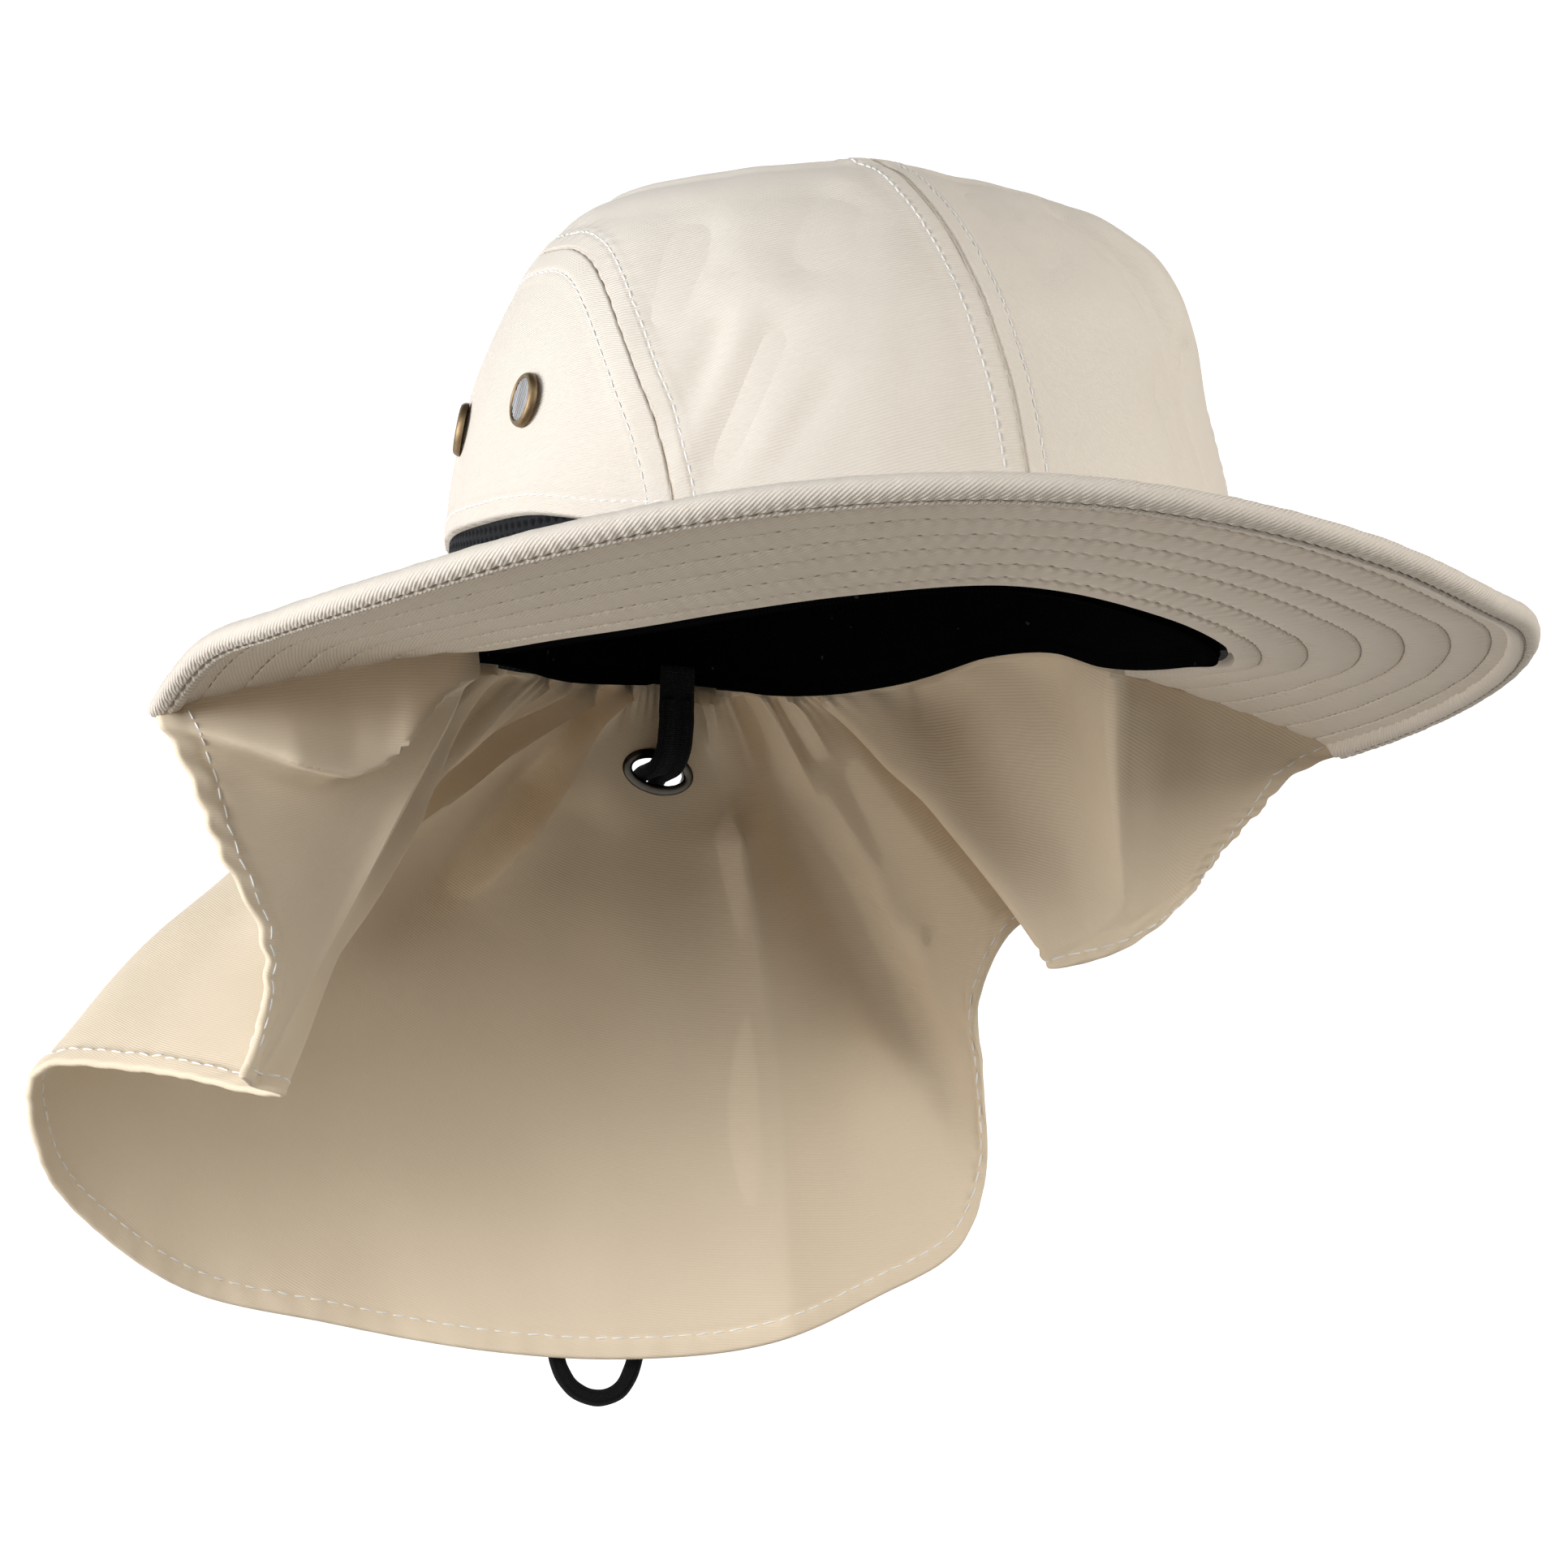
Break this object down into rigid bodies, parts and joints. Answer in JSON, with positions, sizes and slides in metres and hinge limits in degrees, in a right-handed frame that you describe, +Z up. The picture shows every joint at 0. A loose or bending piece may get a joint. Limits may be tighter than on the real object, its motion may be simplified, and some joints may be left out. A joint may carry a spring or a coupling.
{
  "type": "flap sun hat",
  "caption": "Cloth sun hat with a three-panel crown, a stiff brim over the front and sides, and a hanging neck flap with an oval grommet and drawcord.",
  "frame": {"origin": "middle of the head opening, where the hat sits on a head", "axes": "+Z up through the crown, -Y to the front of the hat, +X to the wearer's left"},
  "size_m": [0.3213, 0.3304, 0.2831],
  "materials": {
    "khaki_cloth": "khaki microfibre twill, matt",
    "khaki_brim": "khaki twill over a foam core, stitched in rows",
    "black_mesh": "black spacer mesh",
    "black_band": "black knitted cloth",
    "gunmetal": "dark gunmetal plate, glossy",
    "bronze": "antique bronze plate",
    "black_cord": "black woven cord",
    "black_plastic": "black moulded plastic"
  },
  "bodies": {
    "root": {"crown_front_right": "khaki_cloth", "crown_front_left": "khaki_cloth", "crown_back": "khaki_cloth", "mesh_band": "black_mesh", "sweatband": "black_band", "brim": "khaki_brim", "flap": "khaki_cloth", "grommet": "gunmetal", "vent_right_front": "bronze", "vent_right_back": "bronze", "vent_left_front": "bronze", "vent_left_back": "bronze", "drawcord": "black_cord", "cord_lock": "black_plastic"}
  },
  "joints": []
}
